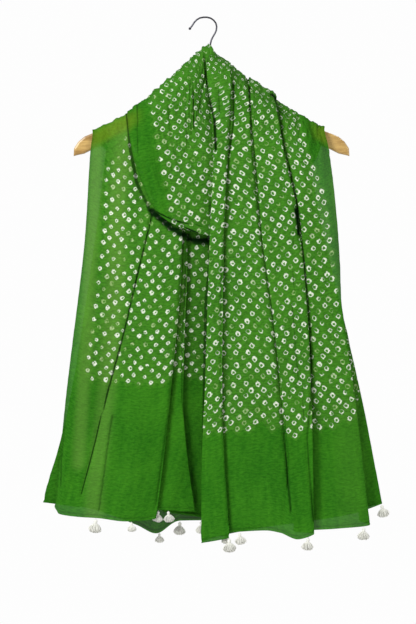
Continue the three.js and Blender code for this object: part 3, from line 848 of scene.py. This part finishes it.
    # Crinkled voile: short crosswise wrinkles, a pinch at each dot, and the weave
    crinkles = s.node("ShaderNodeMapping", {"Vector": place, "Scale": (110, 210, 1)}).outputs[0]
    crinkle = s.noise(crinkles, 1.0, 4.0, 0.6, "2D")
    weave = s.node("ShaderNodeMapping", {"Vector": place, "Scale": (2600, 1300, 1)}).outputs[0]
    height = s.math("ADD", crinkle, s.math("MULTIPLY", s.noise(weave, 1.0, 0.0, 0.5, "2D"), 0.12))
    tied = s.math("MULTIPLY", s.math("MULTIPLY", disc, field), 0.25)
    s.bump(s.math("ADD", height, tied), 0.004, 0.7)
    return s.finish(Roughness=0.95, Alpha=0.98, Specular_IOR_Level=0.05)


def yarnMaterial():
    s = Shader("white_cotton_yarn")
    place = s.objectPlace((900, 900, 250))
    tone = s.noise(place, 1.0, 3.0, 0.6)
    white = s.mix(s.step(tone, 0.3, 0.7), rgb(0.90, 0.90, 0.86), rgb(0.99, 0.99, 0.96))
    s.put(s.base.inputs["Base Color"], white)
    s.bump(tone, 0.0004, 0.5)
    return s.finish(Roughness=0.92, Sheen_Weight=0.3, Specular_IOR_Level=0.2)


def woodMaterial():
    s = Shader("varnished_wood")
    place = s.objectPlace((14, 60, 90))
    rings = s.noise(place, 1.0, 4.0, 0.55)
    fine = s.noise(s.objectPlace((60, 500, 700)), 1.0, 3.0, 0.6)
    tone = s.math("ADD", s.math("MULTIPLY", rings, 0.65), s.math("MULTIPLY", fine, 0.35))
    pale = s.mix(s.step(tone, 0.35, 0.68), rgb(0.60, 0.45, 0.22), rgb(0.82, 0.68, 0.40))
    s.put(s.base.inputs["Base Color"], pale)
    s.bump(tone, 0.0003, 0.4)
    return s.finish(Roughness=0.38, Coat_Weight=0.2, Coat_Roughness=0.3)


def steelMaterial():
    s = Shader("plated_steel_wire")
    tone = s.noise(s.objectPlace((200, 200, 60)), 1.0, 3.0, 0.6)
    s.put(s.base.inputs["Base Color"], s.mix(tone, rgb(0.20, 0.20, 0.22), rgb(0.36, 0.36, 0.39)))
    s.put(s.base.inputs["Roughness"], s.math("ADD", s.math("MULTIPLY", tone, 0.15), 0.35))
    return s.finish(Metallic=1.0)


# A tassel, in millimetres below the hem: a thread, a bound head and a skirt of yarns
tassel = {
    "strands": 120,
    "sides": 3,
    "steps": 6,
    "radius": 0.7,
    "neck": 7.4,
    "waist": 1.3,
    "belly": 1.4,
    "spread": 10.4,
    "flare": 0.8,
    "length": 22.0,
    "rounded": 0.22,
    "roundPower": 4.0,
    "stray": 1.0,
    "squash": 0.8,
    "firstSeed": 10,
}
threadTop = 0.0002
# The turn from one strand to the next that spreads them evenly over a disc
goldenAngle = 2.39996
headOutline = table(
    "z radius",
    [
        [0, 0.45],
        [-1.5, 0.5],
        [-2.1, 1.9],
        [-3.4, 2.9],
        [-4.8, 3.0],
        [-5.9, 2.3],
        [-6.2, 2.6],
        [-6.5, 2.3],
        [-6.8, 2.6],
        [-7.1, 2.3],
        [-7.4, 2.6],
        [-7.8, 2.2],
        [-9.5, 2.4],
    ],
)


def headMesh(name, sides=14):
    points, faces = [], []
    for ring in headOutline:
        for k in range(sides):
            angle = 2 * math.pi * k / sides
            points.append((ring["radius"] * math.cos(angle), ring["radius"] * math.sin(angle), ring["z"]))
    for i in range(len(headOutline) - 1):
        for k in range(sides):
            a, b = i * sides + k, i * sides + (k + 1) % sides
            faces.append((b, a, a + sides, b + sides))
    faces.append(tuple(range(sides)))
    faces.append(tuple(len(points) - 1 - k for k in range(sides)))
    mesh = bpy.data.meshes.new(name)
    mesh.from_pydata(points, [], faces)
    return mesh


# Geometry nodes that add the skirt below a head
def skirtTree(look):
    g = Nodes(bpy.data.node_groups.new("tassel_skirt", "GeometryNodeTree"))
    face = g.tree.interface
    face.new_socket("Head", in_out="INPUT", socket_type="NodeSocketGeometry")
    sockets = {}
    for name, kind in (("Spread", "Float"), ("Length", "Float"), ("Seed", "Int")):
        socket = face.new_socket(name, in_out="INPUT", socket_type="NodeSocket" + kind)
        sockets[name] = socket.identifier
    face.new_socket("Tassel", in_out="OUTPUT", socket_type="NodeSocketGeometry")
    given = g.node("NodeGroupInput").outputs
    index = g.node("GeometryNodeInputIndex").outputs[0]
    share = g.math("SQRT", g.math("DIVIDE", g.math("ADD", index, 0.5), tassel["strands"]))
    turn = g.math("ADD", g.math("MULTIPLY", index, goldenAngle), given["Seed"])
    stray = tassel["stray"]
    astray = g.node(
        "FunctionNodeRandomValue",
        {0: (-stray, -stray, -stray), 1: (stray, stray, stray), 8: given["Seed"]},
        data_type="FLOAT_VECTOR",
    ).outputs[0]
    points = g.node("GeometryNodePoints", {"Count": tassel["strands"]}).outputs[0]
    for name, value, kind in (
        ("share", share, "FLOAT"),
        ("turn", turn, "FLOAT"),
        ("astray", astray, "FLOAT_VECTOR"),
    ):
        points = g.node(
            "GeometryNodeStoreNamedAttribute", {0: points, 2: name, 3: value}, data_type=kind
        ).outputs[0]
    line = g.node("GeometryNodeCurvePrimitiveLine").outputs[0]
    line = g.node("GeometryNodeResampleCurve", {0: line, 2: tassel["steps"]}).outputs[0]
    strands = g.node("GeometryNodeInstanceOnPoints", {"Points": points, "Instance": line}).outputs[0]
    strands = g.node("GeometryNodeRealizeInstances", {0: strands}).outputs[0]

    def stored(name, kind="FLOAT"):
        return g.node("GeometryNodeInputNamedAttribute", {0: name}, data_type=kind).outputs[0]

    down = g.node("GeometryNodeSplineParameter").outputs[0]
    reach = g.math("SUBTRACT", g.math("MULTIPLY", stored("share"), given["Spread"]), tassel["waist"])
    out = g.math("ADD", g.math("MULTIPLY", reach, g.math("POWER", down, tassel["flare"])), tassel["waist"])
    belly = g.math("MULTIPLY", g.math("SINE", g.math("MULTIPLY", down, math.pi)), tassel["belly"])
    out = g.math("ADD", out, belly)
    shorter = g.math("POWER", stored("share"), tassel["roundPower"])
    shorter = g.math("MULTIPLY", shorter, tassel["rounded"])
    reachDown = g.math("MULTIPLY", given["Length"], g.math("SUBTRACT", 1.0, shorter))
    reachDown = g.math("SUBTRACT", reachDown, tassel["neck"])
    z = g.math("SUBTRACT", -tassel["neck"], g.math("MULTIPLY", reachDown, down))
    x = g.math("MULTIPLY", g.math("COSINE", stored("turn")), out)
    y = g.math("MULTIPLY", g.math("SINE", stored("turn")), g.math("MULTIPLY", out, tassel["squash"]))
    place = g.node("ShaderNodeCombineXYZ", {0: x, 1: y, 2: z}).outputs[0]
    place = g.vector("ADD", place, g.vector("MULTIPLY", stored("astray", "FLOAT_VECTOR"), down))
    strands = g.node("GeometryNodeSetPosition", {"Geometry": strands, "Position": place}).outputs[0]
    circle = {0: tassel["sides"], 4: tassel["radius"]}
    yarn = g.node("GeometryNodeCurvePrimitiveCircle", circle).outputs[0]
    skirt = g.node("GeometryNodeCurveToMesh", {0: strands, 1: yarn, 3: True}).outputs[0]
    both = g.node("GeometryNodeJoinGeometry")
    g.tree.links.new(given["Head"], both.inputs[0])
    g.tree.links.new(skirt, both.inputs[0])
    real = g.node("GeometryNodeRealizeInstances", {0: both.outputs[0]}).outputs[0]
    done = g.node("GeometryNodeSetMaterial", {0: real, 2: look}).outputs[0]
    g.put(g.node("NodeGroupOutput").inputs[0], done)
    return g.tree, sockets


def tasselPiece(name, top, aim, size, seed, tree, sockets):
    piece = bpy.data.objects.new(name, headMesh(name))
    bpy.context.collection.objects.link(piece)
    skirt = piece.modifiers.new("skirt", "NODES")
    skirt.node_group = tree
    skirt[sockets["Spread"]] = tassel["spread"]
    skirt[sockets["Length"]] = tassel["length"]
    skirt[sockets["Seed"]] = seed
    graph = bpy.context.evaluated_depsgraph_get()
    mesh = bpy.data.meshes.new_from_object(piece.evaluated_get(graph))
    piece.modifiers.clear()
    piece.data = mesh
    turn = Vector((0, 0, -1)).rotation_difference(Vector(aim)).to_matrix().to_4x4()
    mesh.transform(Matrix.Translation(top) @ turn @ Matrix.Scale(size * mm, 4))
    mesh.polygons.foreach_set("use_smooth", np.ones(len(mesh.polygons), bool))
    mesh.update()
    return piece


def vertices(obj):
    places = np.zeros(3 * len(obj.data.vertices))
    obj.data.vertices.foreach_get("co", places)
    world = np.array(obj.matrix_world)
    return places.reshape(-1, 3) @ world[:3, :3].T + world[:3, 3]


print("stage: camera, floor and lights")
view = {"middle": (0.0059, -0.4757), "height": 1.01, "away": 8.0, "sensor": 36, "clip": 100}
camera = bpy.data.objects.new("camera", bpy.data.cameras.new("camera"))
camera.location = (view["middle"][0], -view["away"], view["middle"][1])
camera.rotation_euler = (math.pi / 2, 0, 0)
camera.data.sensor_width = view["sensor"]
camera.data.lens = view["sensor"] * view["away"] / view["height"]
camera.data.clip_end = view["clip"]
bpy.context.collection.objects.link(camera)
bpy.context.scene.camera = camera
bpy.context.scene.view_settings.view_transform = "Standard"

floorHalf, floorZ = 4, -1.9
floorMesh = bpy.data.meshes.new("floor")
floorCorners = [(x * floorHalf, y * floorHalf, floorZ) for x, y in ((-1, -1), (1, -1), (1, 1), (-1, 1))]
floorMesh.from_pydata(floorCorners, [], [(0, 1, 2, 3)])
floor = bpy.data.objects.new("floor", floorMesh)
bpy.context.collection.objects.link(floor)
floor.data.materials.append(Shader("pale_floor").finish(Base_Color=(0.9, 0.9, 0.9, 1), Roughness=0.9))

skyStrength = 0.45
backdropTone = 0.985
world = bpy.data.worlds.new("world")
world.use_nodes = True
bpy.context.scene.world = world
nodes, links = world.node_tree.nodes, world.node_tree.links
sky = nodes["Background"]
sky.inputs["Color"].default_value = (1, 1, 1, 1)
sky.inputs["Strength"].default_value = skyStrength
backdrop = nodes.new("ShaderNodeBackground")
backdrop.inputs["Color"].default_value = (backdropTone, backdropTone, backdropTone, 1)
seen = nodes.new("ShaderNodeLightPath")
pick = nodes.new("ShaderNodeMixShader")
links.new(seen.outputs["Is Camera Ray"], pick.inputs[0])
links.new(sky.outputs[0], pick.inputs[1])
links.new(backdrop.outputs[0], pick.inputs[2])
links.new(pick.outputs[0], nodes["World Output"].inputs["Surface"])

lightsAim = np.array([0, 0, -0.45])
lights = table(
    "name place size power",
    [
        ["key_light", (-1.8, -1.8, 1.2), 1.0, 75],
        ["fill_light", (1.9, -1.8, 0.1), 1.4, 18],
        ["back_light", (0.6, 2.4, 0.8), 1.6, 30],
    ],
)
for row in lights:
    light = bpy.data.objects.new(row["name"], bpy.data.lights.new(row["name"], "AREA"))
    light.data.size = row["size"]
    light.data.energy = row["power"]
    light.location = row["place"]
    aim = lightsAim - np.array(row["place"])
    light.rotation_euler = Vector(aim).to_track_quat("-Z", "Y").to_euler()
    bpy.context.collection.objects.link(light)

print("stage: cloth,", surface.shape[0], "rows of", surface.shape[1], "points")
stole = clothMesh()
stole.data.materials.append(dyedCotton())
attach(stole, "root")
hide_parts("stole")

print("stage: tassels")
skirts, sockets = skirtTree(yarnMaterial())
made = []
for name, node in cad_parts.items():
    if not name.startswith("tassel"):
        continue
    places = vertices(node)
    top = places[places[:, 2] > places[:, 2].max() - threadTop].mean(axis=0)
    size = (top[2] - places[:, 2].min()) / (tassel["length"] * mm)
    aim = places.mean(axis=0) - top
    seed = len(made) + tassel["firstSeed"]
    piece = tasselPiece(name + "_yarn", top, aim, size, seed, skirts, sockets)
    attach(piece, "root")
    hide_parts(name)
    made.append(piece)

print("stage: hanger")
for name, look in (("hanger_bow", woodMaterial()), ("hanger_hook", steelMaterial())):
    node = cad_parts[name]
    node.data.materials.clear()
    node.data.materials.append(look)
